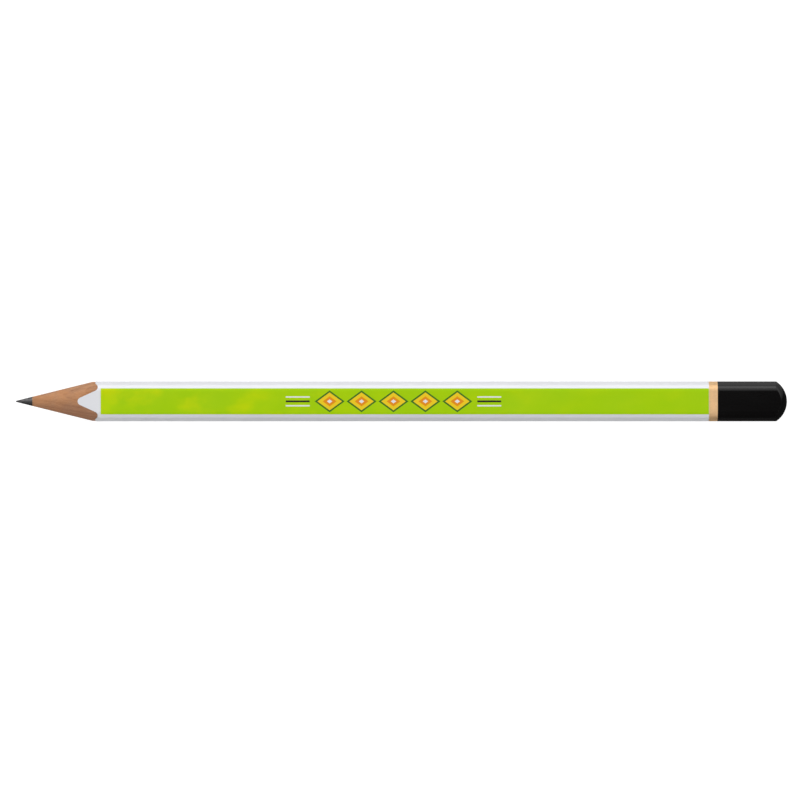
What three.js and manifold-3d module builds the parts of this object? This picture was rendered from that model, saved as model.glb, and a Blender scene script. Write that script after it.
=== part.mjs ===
// Giant wood-cased pencil, lying on its plain broad face with the printed broad face up.
// Units are millimetres and +Z is up. X runs from the point (-X) to the cap (+X), Y from ridge to ridge.
// The origin lies under the middle of the pencil, on the surface that the pencil rests on.
import * as THREE from "three";
import { mergeVertices } from "three/addons/utils/BufferGeometryUtils.js";
import Module from "manifold-3d";

const wasm = await Module();
wasm.setup();

// Driving dimensions of the whole pencil
const PENCIL_LENGTH = 387; // point to crown of the cap
const BARREL_WIDTH = 20; // ridge to ridge
const BARREL_DEPTH = 16.2; // printed face to resting face
const SIDE_PITCH = 17.1; // degrees that each of the four narrow sides leans off upright
const EDGE_RADIUS = 3.5; // rounding of the four edges beside the broad faces
const RIDGE_RADIUS = 3; // rounding of the two ridges

// Sharpened point
const POINT_ANGLE = 27.8; // degrees, side to side
const POINT_BLUNT = 0.36; // radius of the worn tip of the lead

// Scalloped edge of the coats at the point: round tongues of the coats between round fingers of bare wood
const FINGER_SPAN = 14.4; // between the middles of the two fingers beside a broad face
const FINGER_WIDTH = 4.1; // of each of these fingers, at its round end
const TONGUE_RADIUS = 2; // round tip of the tongue on a broad face
const SIDE_RADIUS = 1.2; // round tips and round ends on the narrow sides
const TONGUE_TRIM = 0.4; // how far the tongue on a broad face stops behind the wood's own edge
const FINGER_TRIM = 1.4; // how far the coats stop behind it at the ends of these fingers
const SIDE_DIP = 1.4; // how far the tongues on the narrow sides reach ahead of the ends of these fingers
const RIDGE_DIP = 1; // how far the finger on each ridge stops ahead of them

// Core and the bond round it
const LEAD_DIAMETER = 4.6;
const GLUE_FILM = 0.1; // thickness of the glue between the slats and round the lead

// Coats on the wood, the print and the dipped end
const PRIMER_COAT = 0.06;
const LACQUER_COAT = 0.1;
const PRINT_FILM = 0.05;
const PRINT_WIDTH = 13; // across the printed face
const PRINT_MARGIN = 1.5; // from the last of the bare wood to the print
const RING_WIDTH = 4.4;
const RING_FOIL = 0.08; // thickness of the stamped foil, a little less than the lacquer
const CAP_LENGTH = 34.9; // ring to crown
const DOME_RISE = 5.9; // crown of the cap above the outermost corners of the barrel

// Clearances
const BOND_GAP = 0.02; // between two bonded layers
const PRINT_END_GAP = 0.1; // between the print and the ring
const CUT_MARGIN = 1; // how far a cutting shape reaches past what it cuts

// Fineness of the round stretches
const ARC_STEPS = 4; // half the steps of each rounding in a section
const LEAD_STEPS = 8; // half the steps of each half-turn round the lead
const TURN_STEPS = 64; // steps round the point and the dome
const DOME_STEPS = 6; // steps from the rim of the dome to its crown
const TIP_STEPS = 4; // steps over the worn tip

// Section of the barrel: six rounded corners, with the narrow sides tangent to two roundings each
const halfWidth = BARREL_WIDTH / 2;
const halfDepth = BARREL_DEPTH / 2;
const sidePitch = THREE.MathUtils.degToRad(SIDE_PITCH);
const ridgeCentre = halfWidth - RIDGE_RADIUS;
const edgeCentre = new THREE.Vector2(0, halfDepth - EDGE_RADIUS);
const sideReach = RIDGE_RADIUS + ridgeCentre * Math.cos(sidePitch);
edgeCentre.x = (sideReach - EDGE_RADIUS - edgeCentre.y * Math.sin(sidePitch)) / Math.cos(sidePitch);
const cornerReach = edgeCentre.length() + EDGE_RADIUS;

// Insets of the layers below the outside of the lacquer
const primerInset = LACQUER_COAT + BOND_GAP;
const woodInset = primerInset + PRIMER_COAT + BOND_GAP;

// Radii round the axis of the lead, outwards
const leadRadius = LEAD_DIAMETER / 2;
const glueBore = leadRadius + BOND_GAP;
const glueRadius = glueBore + GLUE_FILM;
const grooveRadius = glueRadius + BOND_GAP;
const seamHalf = GLUE_FILM / 2;
const slatSeam = seamHalf + BOND_GAP;

// Stations along X, counted from the tip of the lead
const pointSlope = Math.tan(THREE.MathUtils.degToRad(POINT_ANGLE / 2));
const tipTurn = THREE.MathUtils.degToRad(90 - POINT_ANGLE / 2);
const coneApex = POINT_BLUNT - POINT_BLUNT / Math.cos(tipTurn);
const coneStation = (radius) => coneApex + radius / pointSlope;
const cutEnd = coneStation(cornerReach);
const tongueTip = coneStation(halfDepth - woodInset) + TONGUE_TRIM;
const fingerEnd = coneStation(cornerReach - woodInset) + FINGER_TRIM;
const sideTongueTip = fingerEnd - SIDE_DIP;
const ridgeFingerEnd = fingerEnd - RIDGE_DIP;
const printStart = Math.max(cutEnd, fingerEnd) + PRINT_MARGIN;
const capStart = PENCIL_LENGTH - CAP_LENGTH;
const ringStart = capStart - RING_WIDTH;
const printEnd = ringStart - PRINT_END_GAP;
const domeRadius = (cornerReach ** 2 + DOME_RISE ** 2) / (2 * DOME_RISE);
const domeCentre = PENCIL_LENGTH - domeRadius;
const domeRim = Math.asin(Math.min(1, (cornerReach + CUT_MARGIN) / domeRadius));

// A section lies in Y and Z and is drawn out along X. A turned shape has its axis along X.
const SECTION_TO_PENCIL = new THREE.Matrix4().set(0, 0, 1, 0, 1, 0, 0, 0, 0, 1, 0, 0, 0, 0, 0, 1);
const TURNED_TO_PENCIL = new THREE.Matrix4().set(0, 1, 0, 0, 0, 0, 1, 0, 1, 0, 0, 0, 0, 0, 0, 1);

// The closed solid of a geometry: shared vertices merged, the empty triangles at its poles left out.
function solid(geometry) {
  geometry.deleteAttribute("normal");
  geometry.deleteAttribute("uv");
  const merged = mergeVertices(geometry);
  const corners = merged.index.array;
  const kept = [];
  for (let i = 0; i < corners.length; i += 3) {
    const triangle = corners.slice(i, i + 3);
    if (new Set(triangle).size === 3) kept.push(...triangle);
  }
  const vertProperties = merged.attributes.position.array;
  const triVerts = new Uint32Array(kept);
  return new wasm.Manifold(new wasm.Mesh({ numProp: 3, vertProperties, triVerts }));
}

// A section drawn out from one station to another.
function drawnOut(shape, from, to, curveSegments = ARC_STEPS) {
  const options = { depth: to - from, bevelEnabled: false, curveSegments };
  const geometry = new THREE.ExtrudeGeometry(shape, options);
  geometry.applyMatrix4(SECTION_TO_PENCIL).translate(from, 0, 0);
  return solid(geometry);
}

// Adds the roundings of the upper half of the barrel to a path, from the +Y ridge to the -Y ridge.
// The ridges' roundings start and end at the angle ridgeFrom above the Y axis.
function upperRoundings(path, inset, ridgeFrom) {
  const edge = EDGE_RADIUS - inset;
  const ridge = RIDGE_RADIUS - inset;
  path.absarc(ridgeCentre, 0, ridge, ridgeFrom, sidePitch);
  path.absarc(edgeCentre.x, edgeCentre.y, edge, sidePitch, Math.PI / 2);
  path.absarc(-edgeCentre.x, edgeCentre.y, edge, Math.PI / 2, Math.PI - sidePitch);
  path.absarc(-ridgeCentre, 0, ridge, Math.PI - sidePitch, Math.PI - ridgeFrom);
}

// The whole six-sided outline, as a shape or as the hole of one.
function barrelOutline(path, inset) {
  const edge = EDGE_RADIUS - inset;
  upperRoundings(path, inset, -sidePitch);
  path.absarc(-edgeCentre.x, -edgeCentre.y, edge, Math.PI + sidePitch, 1.5 * Math.PI);
  path.absarc(edgeCentre.x, -edgeCentre.y, edge, 1.5 * Math.PI, 2 * Math.PI - sidePitch);
  path.closePath();
  return path;
}

// A full round about the axis of the lead, as two half-turns.
function roundOutline(path, radius) {
  path.absarc(0, 0, radius, 0, Math.PI);
  path.absarc(0, 0, radius, Math.PI, 2 * Math.PI);
  path.closePath();
  return path;
}

// The six-sided bar at an inset, between two stations.
function bar(inset, from, to) {
  return drawnOut(barrelOutline(new THREE.Shape(), inset), from, to);
}

// A six-sided tube between two insets and two stations.
function sleeve(outerInset, innerInset, from, to) {
  const shape = barrelOutline(new THREE.Shape(), outerInset);
  shape.holes.push(barrelOutline(new THREE.Path(), innerInset));
  return drawnOut(shape, from, to);
}

// A profile of radius and station, turned about the axis of the lead.
function turned(profile) {
  const geometry = new THREE.LatheGeometry(profile, TURN_STEPS);
  geometry.applyMatrix4(TURNED_TO_PENCIL);
  return solid(geometry);
}

// What sharpening leaves: a cone with a worn tip, and everything behind it.
function sharpenedSpace() {
  const reach = cornerReach + CUT_MARGIN;
  const behind = PENCIL_LENGTH + CUT_MARGIN;
  const profile = [new THREE.Vector2(0, 0)];
  for (let i = 1; i <= TIP_STEPS; i++) {
    const turn = (tipTurn * i) / TIP_STEPS;
    profile.push(new THREE.Vector2(POINT_BLUNT * Math.sin(turn), POINT_BLUNT * (1 - Math.cos(turn))));
  }
  profile.push(new THREE.Vector2(reach, coneStation(reach)));
  profile.push(new THREE.Vector2(reach, behind));
  profile.push(new THREE.Vector2(0, behind));
  return turned(profile);
}

// What doming leaves at an inset: a ball end, and everything in front of it.
function domedSpace(inset) {
  const ball = domeRadius - inset;
  const ahead = -2 * CUT_MARGIN;
  const profile = [new THREE.Vector2(0, ahead), new THREE.Vector2(ball * Math.sin(domeRim), ahead)];
  for (let i = DOME_STEPS; i > 0; i--) {
    const turn = (domeRim * i) / DOME_STEPS;
    profile.push(new THREE.Vector2(ball * Math.sin(turn), domeCentre + ball * Math.cos(turn)));
  }
  profile.push(new THREE.Vector2(0, domeCentre + ball));
  return turned(profile);
}

// The round end of a finger and the round tip of a tongue, by the station they reach and their place across.
const fingerRound = (end, across, radius) => ({ centre: new THREE.Vector2(end - radius, across), radius });
const tongueRound = (tip, across, radius) => ({ centre: new THREE.Vector2(tip + radius, across), radius });

// Adds a wavy edge to a path: fingers and tongues in turn, joined by the straight lines that touch both.
function addWave(path, rounds) {
  const quarter = Math.PI / 2;
  let entering = -quarter;
  rounds.forEach(({ centre, radius }, i) => {
    const next = rounds[i + 1];
    const bend = i % 2 === 0 ? -1 : 1;
    let leaving = -quarter;
    if (next) {
      const step = next.centre.clone().sub(centre);
      leaving = step.angle() + bend * Math.asin(Math.min(1, (radius + next.radius) / step.length()));
    }
    const lag = bend * quarter;
    path.absarc(centre.x, centre.y, radius, entering - lag, leaving - lag, bend < 0);
    entering = leaving;
  });
}

// What one view of the scalloped edge leaves of the coats: all that is behind it and all that is beside it.
// It is drawn from above, by its rounds from +Y to -Y, and carried through the whole depth.
function scallopedSpace(rounds) {
  const side = halfWidth + CUT_MARGIN;
  const behind = PENCIL_LENGTH + CUT_MARGIN;
  const last = rounds[0].centre.y;
  const shape = new THREE.Shape();
  shape.moveTo(behind, side);
  shape.lineTo(-CUT_MARGIN, side);
  shape.lineTo(-CUT_MARGIN, last);
  addWave(shape, rounds);
  shape.lineTo(-CUT_MARGIN, -last);
  shape.lineTo(-CUT_MARGIN, -side);
  shape.lineTo(behind, -side);
  shape.closePath();
  const options = { depth: 2 * side, bevelEnabled: false, curveSegments: ARC_STEPS };
  const geometry = new THREE.ExtrudeGeometry(shape, options);
  geometry.translate(0, 0, -side);
  return geometry;
}

// The edge on the broad faces, seen from above.
function broadScallops() {
  const across = FINGER_SPAN / 2;
  const radius = FINGER_WIDTH / 2;
  return solid(
    scallopedSpace([
      fingerRound(fingerEnd, across, radius),
      tongueRound(tongueTip, 0, TONGUE_RADIUS),
      fingerRound(fingerEnd, -across, radius),
    ]),
  );
}

// The edge on the narrow sides, seen along Y: a finger on the ridge between two tongues and two fingers.
// The outer fingers are those beside the broad faces, at their middles.
function sideScallops() {
  const past = Math.max(0, FINGER_SPAN / 2 - edgeCentre.x);
  const onEdge = edgeCentre.y + Math.sqrt(Math.max(0, EDGE_RADIUS ** 2 - past ** 2));
  const onSide = sideReach * Math.sin(sidePitch);
  const geometry = scallopedSpace([
    fingerRound(fingerEnd, onEdge, SIDE_RADIUS),
    tongueRound(sideTongueTip, onSide, SIDE_RADIUS),
    fingerRound(ridgeFingerEnd, 0, SIDE_RADIUS),
    tongueRound(sideTongueTip, -onSide, SIDE_RADIUS),
    fingerRound(fingerEnd, -onEdge, SIDE_RADIUS),
  ]);
  return solid(geometry.rotateX(Math.PI / 2));
}

// The barrel at an inset from one station on, domed behind.
function domedBar(inset, from) {
  return bar(inset, from, PENCIL_LENGTH + CUT_MARGIN).intersect(domedSpace(inset));
}

const sharpened = sharpenedSpace();
const woodSpace = sharpened.intersect(domedSpace(woodInset));
const coatSpace = sharpened.intersect(broadScallops()).intersect(sideScallops());

// One of the two slats: half of the wood with a half-round groove for the lead.
function slat() {
  const seamOnRidge = Math.asin(slatSeam / (RIDGE_RADIUS - woodInset));
  const seamOnGroove = Math.asin(slatSeam / grooveRadius);
  const shape = new THREE.Shape();
  upperRoundings(shape, woodInset, seamOnRidge);
  shape.absarc(0, 0, grooveRadius, Math.PI - seamOnGroove, seamOnGroove, true);
  shape.closePath();
  return drawnOut(shape, 0, PENCIL_LENGTH, LEAD_STEPS).intersect(woodSpace);
}

// The lead: a rod along the whole wood, sharpened with it.
function graphiteLead() {
  const shape = roundOutline(new THREE.Shape(), leadRadius);
  return drawnOut(shape, 0, PENCIL_LENGTH, LEAD_STEPS).intersect(woodSpace);
}

// The glue between the slats: a flat film on each side that runs into a thin tube round the lead.
function glueSeam() {
  const ridgeEnd = ridgeCentre + RIDGE_RADIUS - woodInset - BOND_GAP;
  const onTube = Math.asin(seamHalf / glueRadius);
  const shape = new THREE.Shape();
  shape.moveTo(ridgeEnd, -seamHalf);
  shape.lineTo(ridgeEnd, seamHalf);
  shape.absarc(0, 0, glueRadius, onTube, Math.PI - onTube);
  shape.lineTo(-ridgeEnd, seamHalf);
  shape.lineTo(-ridgeEnd, -seamHalf);
  shape.absarc(0, 0, glueRadius, Math.PI + onTube, 2 * Math.PI - onTube);
  shape.closePath();
  shape.holes.push(roundOutline(new THREE.Path(), glueBore));
  return drawnOut(shape, 0, PENCIL_LENGTH, LEAD_STEPS).intersect(woodSpace);
}

// The primer: a thin cup over the wood, cut back to scallops at the point.
function primerCoat() {
  const inner = woodInset - BOND_GAP;
  return domedBar(primerInset, 0).subtract(domedBar(inner, -CUT_MARGIN)).intersect(coatSpace);
}

// The white lacquer from the scallops to the ring.
function whiteLacquer() {
  return sleeve(0, LACQUER_COAT, 0, ringStart - BOND_GAP).intersect(coatSpace);
}

// The printed film on the upper broad face. It reaches a little way round the edges beside the face.
function printPanel() {
  const halfPrint = PRINT_WIDTH / 2;
  const above = halfDepth + CUT_MARGIN;
  const strip = new THREE.Shape();
  strip.moveTo(-halfPrint, 0);
  strip.lineTo(halfPrint, 0);
  strip.lineTo(halfPrint, above);
  strip.lineTo(-halfPrint, above);
  strip.closePath();
  const film = sleeve(-BOND_GAP - PRINT_FILM, -BOND_GAP, printStart, printEnd);
  return film.intersect(drawnOut(strip, printStart - CUT_MARGIN, printEnd + CUT_MARGIN));
}

// The stamped foil ring between the white lacquer and the dipped end.
function goldRing() {
  return sleeve(LACQUER_COAT - RING_FOIL, LACQUER_COAT, ringStart, capStart - BOND_GAP);
}

// The dipped end: a coat round the barrel and over its dome.
function blackCap() {
  return domedBar(0, capStart).subtract(domedBar(LACQUER_COAT, capStart - CUT_MARGIN));
}

// Colour, roughness and metalness of each finish
const WOOD = { color: 0xc08e67, roughness: 0.7, metalness: 0 };
const GRAPHITE = { color: 0x39363a, roughness: 0.45, metalness: 0.3 };
const GLUE = { color: 0x9c6f48, roughness: 0.5, metalness: 0 };
const PRIMER = { color: 0xe4e0d6, roughness: 0.8, metalness: 0 };
const LACQUER = { color: 0xeeeef2, roughness: 0.22, metalness: 0 };
const PRINT = { color: 0x9cc317, roughness: 0.4, metalness: 0 };
const FOIL = { color: 0xdab47d, roughness: 0.35, metalness: 0.8 };
const DIP = { color: 0x0c0c0c, roughness: 0.15, metalness: 0 };

// A named mesh of a body, with a material of its own.
function piece(name, body, finish) {
  const data = body.getMesh();
  const geometry = new THREE.BufferGeometry();
  geometry.setAttribute("position", new THREE.BufferAttribute(data.vertProperties, 3));
  geometry.setIndex(new THREE.BufferAttribute(data.triVerts, 1));
  geometry.computeVertexNormals();
  const mesh = new THREE.Mesh(geometry, new THREE.MeshStandardMaterial(finish));
  mesh.name = name;
  return mesh;
}

// The casing: two slats, the lower one turned half a turn about the lead, the lead and the glue
const upperSlat = piece("upper_slat", slat(), WOOD);
const lowerSlat = piece("lower_slat", slat(), WOOD);
lowerSlat.rotation.x = Math.PI;
const casing = new THREE.Group();
casing.add(upperSlat, lowerSlat);
casing.add(piece("graphite_lead", graphiteLead(), GRAPHITE));
casing.add(piece("glue_seam", glueSeam(), GLUE));

// The coats: what covers the wood, from the scallops at the point to the dome
const coats = new THREE.Group();
coats.add(piece("primer_coat", primerCoat(), PRIMER));
coats.add(piece("white_lacquer", whiteLacquer(), LACQUER));
coats.add(piece("print_panel", printPanel(), PRINT));
coats.add(piece("gold_ring", goldRing(), FOIL));
coats.add(piece("black_cap", blackCap(), DIP));

// The lead's axis stands half the depth above the resting face, with its middle over the origin.
const pencil = new THREE.Group();
pencil.position.set(-PENCIL_LENGTH / 2, 0, halfDepth);
pencil.add(casing, coats);

const part = new THREE.Group();
part.add(pencil);

export default part;
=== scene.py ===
"""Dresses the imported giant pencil: modelled pieces, procedural finishes, a studio and a camera.

Shapes are drawn in millimetres about the axis of the lead, with X counted from the tip of the lead.
Each finished piece is then brought to metres, at its place in the frame.
"""

import logging
import math
from collections.abc import Callable, Iterator
from contextlib import contextmanager
from dataclasses import dataclass
from enum import Enum

import bmesh
import bpy
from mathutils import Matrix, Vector


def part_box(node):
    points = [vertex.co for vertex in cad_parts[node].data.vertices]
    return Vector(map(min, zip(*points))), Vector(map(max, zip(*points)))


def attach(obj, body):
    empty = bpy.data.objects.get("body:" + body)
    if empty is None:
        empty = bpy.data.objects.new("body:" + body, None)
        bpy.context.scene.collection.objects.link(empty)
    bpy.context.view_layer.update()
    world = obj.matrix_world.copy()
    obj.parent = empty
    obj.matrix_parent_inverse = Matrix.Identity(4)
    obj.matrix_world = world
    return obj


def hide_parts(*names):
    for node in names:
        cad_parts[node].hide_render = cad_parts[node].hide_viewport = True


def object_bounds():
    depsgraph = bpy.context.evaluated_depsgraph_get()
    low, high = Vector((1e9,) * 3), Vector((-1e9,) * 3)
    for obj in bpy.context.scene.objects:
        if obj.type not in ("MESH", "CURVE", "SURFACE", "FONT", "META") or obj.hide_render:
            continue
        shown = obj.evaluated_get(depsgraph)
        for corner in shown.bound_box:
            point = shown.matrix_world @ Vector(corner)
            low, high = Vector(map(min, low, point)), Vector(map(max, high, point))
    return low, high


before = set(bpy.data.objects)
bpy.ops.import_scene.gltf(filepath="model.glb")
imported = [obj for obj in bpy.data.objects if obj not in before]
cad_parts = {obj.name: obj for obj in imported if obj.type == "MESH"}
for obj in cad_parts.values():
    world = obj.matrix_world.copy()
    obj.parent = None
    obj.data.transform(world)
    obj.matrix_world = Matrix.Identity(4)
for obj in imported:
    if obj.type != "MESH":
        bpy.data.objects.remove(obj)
CAD_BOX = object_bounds()

MM = 0.001  # metres in a millimetre
BODY = "root"
LOG = logging.getLogger("giant_pencil")

Triple = tuple[float, float, float]
Colour = Triple
Place = tuple[float, float]
Socket = bpy.types.NodeSocket
Inputs = dict[str | int, object]


# Sizes that the frame gives


def station(x: float) -> float:
    """Millimetres from the tip of the lead to a place along X in the frame."""
    return (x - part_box("graphite_lead")[0].x) / MM


def node_span(node: str) -> Place:
    """Stations of the two ends of a CAD node."""
    low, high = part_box(node)
    return station(low.x), station(high.x)


def lead_tip() -> Vector:
    """The tip of the lead in the frame, in metres."""
    low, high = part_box("graphite_lead")
    return Vector((low.x, 0, (low.z + high.z) / 2))


@dataclass(frozen=True)
class Barrel:
    """Six-sided section of the barrel, in millimetres about the axis of the lead.

    It has two broad faces, four narrow sides that lean by the pitch, and two ridges, with rounded corners.
    """

    width: float
    depth: float
    pitch: float = math.radians(17.1)
    edge_radius: float = 3.5
    ridge_radius: float = 3.0

    @classmethod
    def of_frame(cls) -> "Barrel":
        """The barrel with the width and depth that the dipped end has in the frame."""
        low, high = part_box("black_cap")
        return cls((high.y - low.y) / MM, (high.z - low.z) / MM)

    @property
    def side_reach(self) -> float:
        """How far the flat of a narrow side lies from the axis."""
        return self.ridge_radius + (self.width / 2 - self.ridge_radius) * math.cos(self.pitch)

    @property
    def edge_centre(self) -> Vector:
        """Centre of the rounding of an edge.

        Returns:
            Its distances across and up from the axis.
        """
        up = self.depth / 2 - self.edge_radius
        out = (self.side_reach - self.edge_radius - up * math.sin(self.pitch)) / math.cos(self.pitch)
        return Vector((out, up))

    @property
    def corner_reach(self) -> float:
        """How far the outermost point of a rounded edge lies from the axis."""
        return self.edge_centre.length + self.edge_radius

    def edge_height(self, across: float) -> float:
        """Height of a rounded edge above the axis, at a distance across."""
        return self.edge_centre.y + math.sqrt(self.edge_radius**2 - (across - self.edge_centre.x) ** 2)


# Modelling bench


class Fineness(Enum):
    """Steps of the round stretches."""

    ROUNDING = 12
    TIP = 10
    DOME = 32
    SCALLOP = 18
    TURN = 192


@dataclass(frozen=True)
class Line:
    """A straight stroke of an outline, to a place."""

    to: Place


@dataclass(frozen=True)
class Arc:
    """A round stroke of an outline about a centre, counter-clockwise where the turn is positive."""

    centre: Place
    turn: float
    steps: int

    def end(self, start: Vector) -> Vector:
        """Follows the stroke.

        Args:
            start: where it begins.
        Returns:
            Where it ends.
        """
        centre = Vector((*self.centre, 0))
        spoke = start - centre
        cos, sin = math.cos(self.turn), math.sin(self.turn)
        return centre + Vector((spoke.x * cos - spoke.y * sin, spoke.x * sin + spoke.y * cos, 0))


Strokes = list[Line | Arc]


@dataclass(frozen=True)
class SharpenedPoint:
    """The cone of the point, with the worn tip of the lead at station zero."""

    angle: float = math.radians(27.8)
    blunt: float = 0.36

    @property
    def slope(self) -> float:
        """Growth of the cone's radius along X."""
        return math.tan(self.angle / 2)

    @property
    def tip_turn(self) -> float:
        """Turn of the rounding from the tip to where it meets the cone."""
        return (math.pi - self.angle) / 2

    def at_radius(self, radius: float) -> float:
        """Station at which the cone has a radius."""
        apex = self.blunt - self.blunt / math.cos(self.tip_turn)
        return apex + radius / self.slope

    def profile(self, radius: float) -> Strokes:
        """The strokes of the tip and the cone, out to a radius."""
        tip = Arc((self.blunt, 0), -self.tip_turn, Fineness.TIP.value)
        return [tip, Line((self.at_radius(radius), radius))]


@dataclass(frozen=True)
class Round:
    """A round stretch of a wavy edge, across the pencil at some distance from its middle."""

    centre: Vector
    radius: float

    @classmethod
    def finger(cls, end: float, across: float, radius: float) -> "Round":
        """The round end of a finger of bare wood, which reaches back to a station."""
        return cls(Vector((end - radius, across)), radius)

    @classmethod
    def tongue(cls, tip: float, across: float, radius: float) -> "Round":
        """The round tip of a tongue of a coat, which reaches forward to a station."""
        return cls(Vector((tip + radius, across)), radius)

    def at(self, angle: float) -> Place:
        """The place at an angle round the centre."""
        spoke = Vector((math.cos(angle), math.sin(angle))) * self.radius
        return tuple(self.centre + spoke)


def wave(rounds: list[Round]) -> Strokes:
    """A wavy edge: fingers and tongues in turn, joined by the straight lines that touch both.

    Args:
        rounds: the rounds from +Y to -Y, a finger first and last.
    Returns:
        The strokes, from the end of the first finger to the end of the last.
    """
    strokes: Strokes = []
    across = -math.pi / 2
    entering = across
    for index, here in enumerate(rounds):
        bend = 1 if index % 2 else -1
        leaving = across
        if index + 1 < len(rounds):
            following = rounds[index + 1]
            step = following.centre - here.centre
            lean = math.asin((here.radius + following.radius) / step.length)
            leaving = math.atan2(step.y, step.x) + bend * lean
        strokes.append(Line(here.at(entering + bend * across)))
        strokes.append(Arc(tuple(here.centre), leaving - entering, Fineness.SCALLOP.value))
        entering = leaving
    return strokes


def deselect_objects() -> None:
    """Deselects every object, the CAD nodes too."""
    bpy.ops.object.select_all(action="DESELECT")


class Workpiece:
    """One mesh on the bench, shaped as by hand."""

    WELD = 1e-4  # millimetres within which two points are one
    CUT = 1e-5  # millimetres within which a point lies on a cutting plane
    CREASE = math.radians(10)  # angle above which an edge stays sharp, less than half the point's angle
    FACING = 0.5  # share of a normal along an axis above which a face looks that way

    def __init__(self) -> None:
        """Takes the primitive that was just added, and gives it its place."""
        bpy.ops.object.transform_apply()
        self.body: bpy.types.Object = bpy.context.object

    @classmethod
    def bar(cls, barrel: Barrel, inset: float, span: Place) -> "Workpiece":
        """A length of the six-sided barrel, cut from a cube and rounded along its edges.

        Args:
            barrel: the section.
            inset: depth of the surface below the outside of the barrel.
            span: stations of the two ends.
        Returns:
            The new workpiece.
        """
        reach = barrel.side_reach - inset
        half_depth = barrel.depth / 2 - inset
        ridge = reach / math.cos(barrel.pitch)
        corner = Vector((0, ridge, half_depth))
        low = Vector((span[0], 0, 0)) - corner
        high = Vector((span[1], 0, 0)) + corner
        deselect_objects()
        bpy.ops.mesh.primitive_cube_add(size=1, location=(low + high) / 2, scale=high - low)
        piece = cls()
        with piece.editing():
            for side in (1, -1):
                for up in (1, -1):
                    lean = Vector((0, side * math.cos(barrel.pitch), up * math.sin(barrel.pitch)))
                    piece.slice_off(lean * reach, lean)
        flat_corner = half_depth - cls.WELD
        ridge_corner = ridge - cls.WELD
        edge_turn = math.pi / 2 - barrel.pitch
        ridge_turn = 2 * barrel.pitch
        edge_radius = barrel.edge_radius - inset
        ridge_radius = barrel.ridge_radius - inset
        piece.round_edges(lambda place: abs(place.z) > flat_corner, edge_radius, edge_turn)
        piece.round_edges(lambda place: abs(place.y) > ridge_corner, ridge_radius, ridge_turn)
        return piece

    @classmethod
    def traced(cls, start: Place, strokes: Strokes) -> "Workpiece":
        """An outline in the XY plane, drawn from one point by extruding and spinning its end.

        Args:
            start: where the outline begins.
            strokes: the strokes in order.
        Returns:
            The new workpiece, a chain of edges.
        """
        deselect_objects()
        end = Vector((*start, 0))
        bpy.ops.mesh.primitive_plane_add(size=1, location=end)
        piece = cls()
        with piece.editing():
            bpy.ops.mesh.select_mode(type="VERT")
            bpy.ops.mesh.merge(type="CENTER")
            for stroke in strokes:
                if isinstance(stroke, Line):
                    step = Vector((*stroke.to, 0)) - end
                    bpy.ops.mesh.extrude_vertices_move(TRANSFORM_OT_translate={"value": step})
                    end = end + step
                else:
                    # With no window the operator's positive turn is clockwise.
                    bpy.ops.mesh.spin(
                        steps=stroke.steps,
                        angle=-stroke.turn,
                        center=(*stroke.centre, 0),
                        axis=(0, 0, 1),
                        use_auto_merge=False,
                    )
                    end = stroke.end(end)
        return piece

    @classmethod
    def turned(cls, start: Place, strokes: Strokes) -> "Workpiece":
        """A solid of revolution about X, spun from a traced profile.

        Args:
            start: station and radius at which the profile begins.
            strokes: the profile's strokes, from the axis back to the axis.
        Returns:
            The new workpiece.
        """
        piece = cls.traced(start, strokes)
        with piece.editing():
            bpy.ops.mesh.spin(
                steps=Fineness.TURN.value,
                angle=2 * math.pi,
                center=(0, 0, 0),
                axis=(1, 0, 0),
                use_auto_merge=False,
            )
        piece.close_up()
        return piece

    @contextmanager
    def editing(self, action: str = "SELECT") -> Iterator[None]:
        """Holds the piece in edit mode.

        Args:
            action: what is done to the selection on the way in.
        Returns:
            A context at whose end the piece is in object mode again.
        """
        self.take_up()
        bpy.ops.object.mode_set(mode="EDIT")
        bpy.ops.mesh.select_all(action=action)
        yield
        bpy.ops.object.mode_set(mode="OBJECT")

    def take_up(self) -> None:
        """Makes this piece the only selected object, and the active one."""
        deselect_objects()
        self.body.select_set(True)
        bpy.context.view_layer.objects.active = self.body

    def slice_off(self, place: Vector, outward: Vector) -> None:
        """Bisects the piece in edit mode, and fills the cut.

        Args:
            place: a point of the cutting plane.
            outward: the plane's normal, towards the side that is cleared.
        """
        bpy.ops.mesh.select_all(action="SELECT")
        bpy.ops.mesh.bisect(
            plane_co=place,
            plane_no=outward,
            use_fill=True,
            clear_outer=True,
            threshold=self.CUT,
        )

    def score(self, at: float) -> None:
        """Adds a ring of edges at a station, so that what is cut on one side leaves the other regular."""
        with self.editing():
            bpy.ops.mesh.bisect(plane_co=(at, 0, 0), plane_no=(1, 0, 0), threshold=self.CUT)

    def round_edges(self, at_corner: Callable[[Vector], bool], radius: float, turn: float) -> None:
        """Bevels the long edges at a corner of the section to a true arc.

        Args:
            at_corner: tells whether a point lies on such an edge.
            radius: radius of the rounding.
            turn: angle between the two faces' normals.
        """
        half = math.cos(turn / 2)
        round_profile = ((1 + 2 * half) / (2 + 2 * half)) ** 2  # at which the bevel follows a circle
        with self.editing("DESELECT"):
            bpy.ops.mesh.select_mode(type="EDGE")
            mesh = bmesh.from_edit_mesh(self.body.data)
            for edge in mesh.edges:
                first, second = (corner.co for corner in edge.verts)
                runs_along = abs(first.x - second.x) > self.WELD
                edge.select_set(runs_along and at_corner(first) and at_corner(second))
            bmesh.update_edit_mesh(self.body.data)
            bpy.ops.mesh.bevel(
                offset=radius * math.tan(turn / 2),
                offset_type="OFFSET",
                segments=Fineness.ROUNDING.value,
                profile=round_profile,
                affect="EDGES",
                clamp_overlap=False,
            )

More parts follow.
